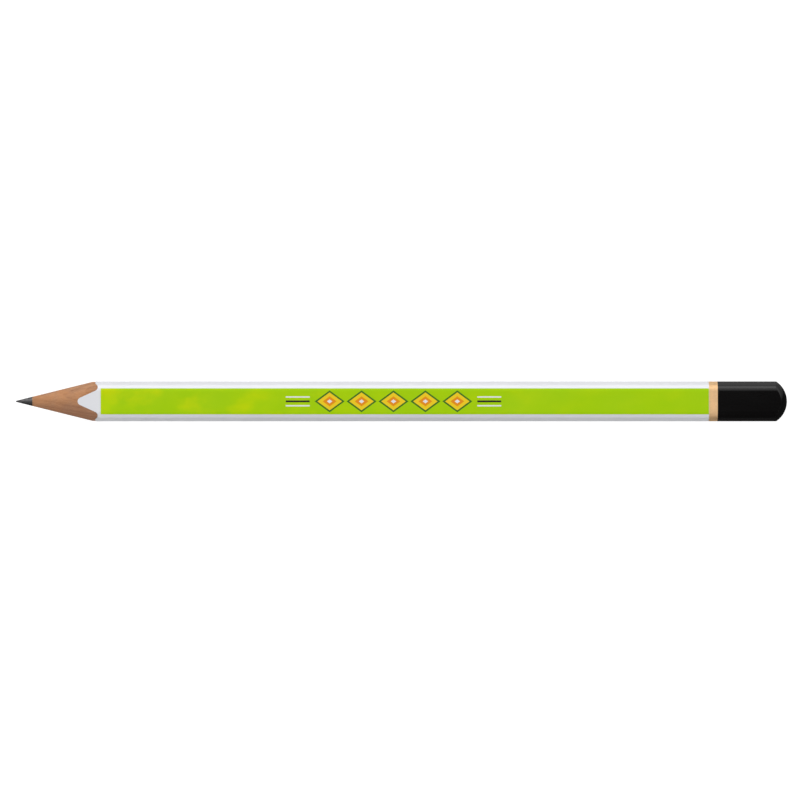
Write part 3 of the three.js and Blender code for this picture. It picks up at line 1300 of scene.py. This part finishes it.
@dataclass
class DippedEnd:
    """The gold foil ring and the black dipped cap."""

    barrel: Barrel
    casing: Casing
    effects: Effects
    foil: float = 0.08
    foil_inset: float = 0.02
    dip: float = 0.1
    past: float = 1.0

    def foil_ring(self) -> Workpiece:
        """The ring: a short six-sided tube.

        Returns:
            The new workpiece.
        """
        piece = Workpiece.bar(self.barrel, self.foil_inset, node_span("gold_ring"))
        piece.hollow(lambda normal: abs(normal.x) > piece.FACING, self.foil)
        return piece

    def dipped_cap(self) -> Workpiece:
        """The cap: a six-sided cup with a ball-shaped crown.

        Returns:
            The new workpiece.
        """
        start, end = node_span("black_cap")
        reach = self.barrel.corner_reach + self.past
        before = start - self.past
        dome = Workpiece.turned((before, 0), [Line((before, reach)), *self.casing.crown(reach, inset=0)])
        piece = Workpiece.bar(self.barrel, 0, (start, end + self.past))
        piece.cut(dome, "INTERSECT")
        dome.discard()
        piece.hollow(lambda normal: normal.x < -piece.FACING, self.dip)
        return piece

    def build(self) -> None:
        """Makes and dresses the ring and the cap."""
        gold = FoilFinish(self.effects).material()
        self.foil_ring().dress("foil_ring", gold, "gold_foil", "gold_ring")
        black = CoatFinish(
            self.effects,
            name="black_dip",
            deep=(0.0014, 0.0012, 0.0012),
            face=(0.0022, 0.0018, 0.0019),
            gloss=(0.18, 0.22),
            relief=(0.001, 0.35),
            reflection=0.55,
        )
        self.dipped_cap().dress("dipped_cap", black.material(), "black_lacquer", "black_cap")


def dress_node(node: str, material: bpy.types.Material) -> None:
    """Gives a CAD node that stays in view a finish.

    Args:
        node: the node's name.
        material: the finish.
    """
    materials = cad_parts[node].data.materials
    materials.clear()
    materials.append(material)
    LOG.info("%s stays, with the finish %s", node, material.name)


# Studio


class Ray(Enum):
    """Kinds of light ray, as the Light Path node names them."""

    CAMERA = "Is Camera Ray"
    GLOSSY = "Is Glossy Ray"
    TRANSMISSION = "Is Transmission Ray"


@dataclass
class Studio:
    """A pale floor, soft light and the camera, in metres."""

    floor_size: float = 40.0
    floor_drop: float = 0.00005
    floor_tone: float = 0.75
    shadow_tone: float = 0.3
    floor_glow: float = 0.88
    # Levels of the floor's glow in reflections: a painted shadow on the -Y side and near the object,
    # painted light rising on the +Y side.
    floor_mirrored: Place = (0.03, 0.25)
    mirrored_from: Place = (0.009, 0.015)
    mirrored_rise: float = 0.4
    rise_from: Place = (0.017, 0.05)
    dim: float = 0.02
    ends_glow: float = 1.0
    ends_from: Place = (0.2, 0.55)
    shade_fill: float = 1.75
    shade_from: Place = (0.0, -0.6)
    side_glow: float = 0.76
    side_from: Place = (0.0, 0.5)
    key_height: float = math.radians(20)
    key_away: float = 1.1
    key_size: Place = (1.6, 0.8)
    key_glow: float = 0.9
    lens: float = 500.0
    sensor: float = 36.0
    view_width: float = 0.4016
    view_offset: Place = (-0.00073, 0.00068)

    @staticmethod
    def seen_directly(wiring: Wiring, path: bpy.types.NodeOutputs) -> Socket:
        """1 for rays from the camera and through glass, 0 for all others."""
        return wiring.math("MAXIMUM", path[Ray.CAMERA.value], path[Ray.TRANSMISSION.value])

    def build_floor(self) -> None:
        """The floor: white to the camera, with the object's shadow.

        Reflections show it as a glowing surround with painted shade and light: dim on the -Y side and close
        to the object, lighter on the +Y side and more so further out.
        """
        deselect_objects()
        bpy.ops.mesh.primitive_plane_add(size=self.floor_size, location=(0, 0, -self.floor_drop))
        floor = bpy.context.object
        floor.name = "floor"
        material = bpy.data.materials.new("pale_floor")
        material.use_nodes = True
        material.node_tree.nodes.clear()
        wiring = Wiring(material.node_tree)
        plain = wiring.node("BsdfDiffuse", {"Color": (self.floor_tone,) * 3}).outputs[0]
        shaded = wiring.node("BsdfDiffuse", {"Color": (self.shadow_tone,) * 3}).outputs[0]
        glow = wiring.node("Emission", {"Color": (1, 1, 1), "Strength": self.floor_glow}).outputs[0]
        white = wiring.node("AddShader", {0: shaded, 1: glow}).outputs[0]
        across = wiring.axes(wiring.node("TexCoord").outputs["Object"])["Y"]
        # Painted shadow and light in reflections: the glow is dim on the -Y side and close to the object,
        # and rises on the +Y side.
        near = wiring.spread(across, *self.mirrored_from, *self.floor_mirrored)
        far = wiring.spread(across, *self.rise_from, 0.0, self.mirrored_rise)
        level = wiring.math("ADD", near, far)
        mirrored = wiring.node("Emission", {"Color": (1, 1, 1), "Strength": level}).outputs[0]
        path = wiring.node("LightPath").outputs
        shown = self.seen_directly(wiring, path)
        seen = wiring.node("MixShader", {0: shown, 1: plain, 2: white}).outputs[0]
        surface = wiring.node("MixShader", {0: path[Ray.GLOSSY.value], 1: seen, 2: mirrored}).outputs[0]
        wiring.node("OutputMaterial", {"Surface": surface})
        floor.data.materials.append(material)

    def build_world(self) -> None:
        """Soft light from beyond both ends, more of it on the -Y side, and from the +Y side.

        The camera sees white instead.
        """
        world = bpy.data.worlds.new("studio")
        bpy.context.scene.world = world
        world.use_nodes = True
        world.node_tree.nodes.clear()
        wiring = Wiring(world.node_tree)
        split = wiring.axes(wiring.node("TexCoord").outputs["Generated"])
        ends = wiring.spread(wiring.math("ABSOLUTE", split["X"]), *self.ends_from, self.dim, self.ends_glow)
        fill = wiring.spread(split["Y"], *self.shade_from, 1.0, self.shade_fill)
        side = wiring.spread(split["Y"], *self.side_from, 0.0, self.side_glow)
        sky = wiring.math("MULTIPLY_ADD", ends, fill, side)
        soft = wiring.node("Background", {"Color": (1, 1, 1), "Strength": sky}).outputs[0]
        white = wiring.node("Background", {"Color": (1, 1, 1), "Strength": 1.0}).outputs[0]
        shown = self.seen_directly(wiring, wiring.node("LightPath").outputs)
        surface = wiring.node("MixShader", {0: shown, 1: soft, 2: white}).outputs[0]
        wiring.node("OutputWorld", {"Surface": surface})

    def build_key(self) -> None:
        """A large softbox on the +Y side."""
        direction = Vector((0, math.cos(self.key_height), math.sin(self.key_height)))
        bpy.ops.object.light_add(type="AREA", location=direction * self.key_away)
        lamp = bpy.context.object
        lamp.name = "softbox"
        lamp.rotation_euler = direction.to_track_quat("Z", "X").to_euler()
        lamp.data.shape = "RECTANGLE"
        lamp.data.size_y, lamp.data.size = self.key_size
        lamp.data.energy = self.key_glow * math.pi * self.key_size[0] * self.key_size[1]

    def build_camera(self) -> None:
        """A long lens straight above the printed face, with the point to the left."""
        centre = (CAD_BOX[0] + CAD_BOX[1]) / 2
        away = self.view_width * self.lens / self.sensor
        ridge = lead_tip().z
        place = (centre.x + self.view_offset[0], centre.y + self.view_offset[1], ridge + away)
        bpy.ops.object.camera_add(location=place, rotation=(0, 0, 0))
        camera = bpy.context.object
        camera.name = "photo_camera"
        camera.data.lens = self.lens
        camera.data.sensor_width = self.sensor
        bpy.context.scene.camera = camera

    def build(self) -> None:
        """Sets up the camera, the floor and the light."""
        self.build_camera()
        self.build_floor()
        self.build_world()
        self.build_key()
        bpy.context.scene.view_settings.view_transform = "Standard"
        LOG.info("studio ready")


def main() -> None:
    """Builds the studio and the pencil's sub-assemblies in order."""
    logging.basicConfig(level=logging.INFO, format="%(name)s: %(message)s")
    Studio().build()
    effects = Effects()
    barrel = Barrel.of_frame()
    point = SharpenedPoint()
    casing = Casing(barrel, point, effects, length=node_span("black_cap")[1])
    casing.build()
    Coats(barrel, point, effects).build()
    DippedEnd(barrel, casing, effects).build()


if __name__ == "__main__":
    main()
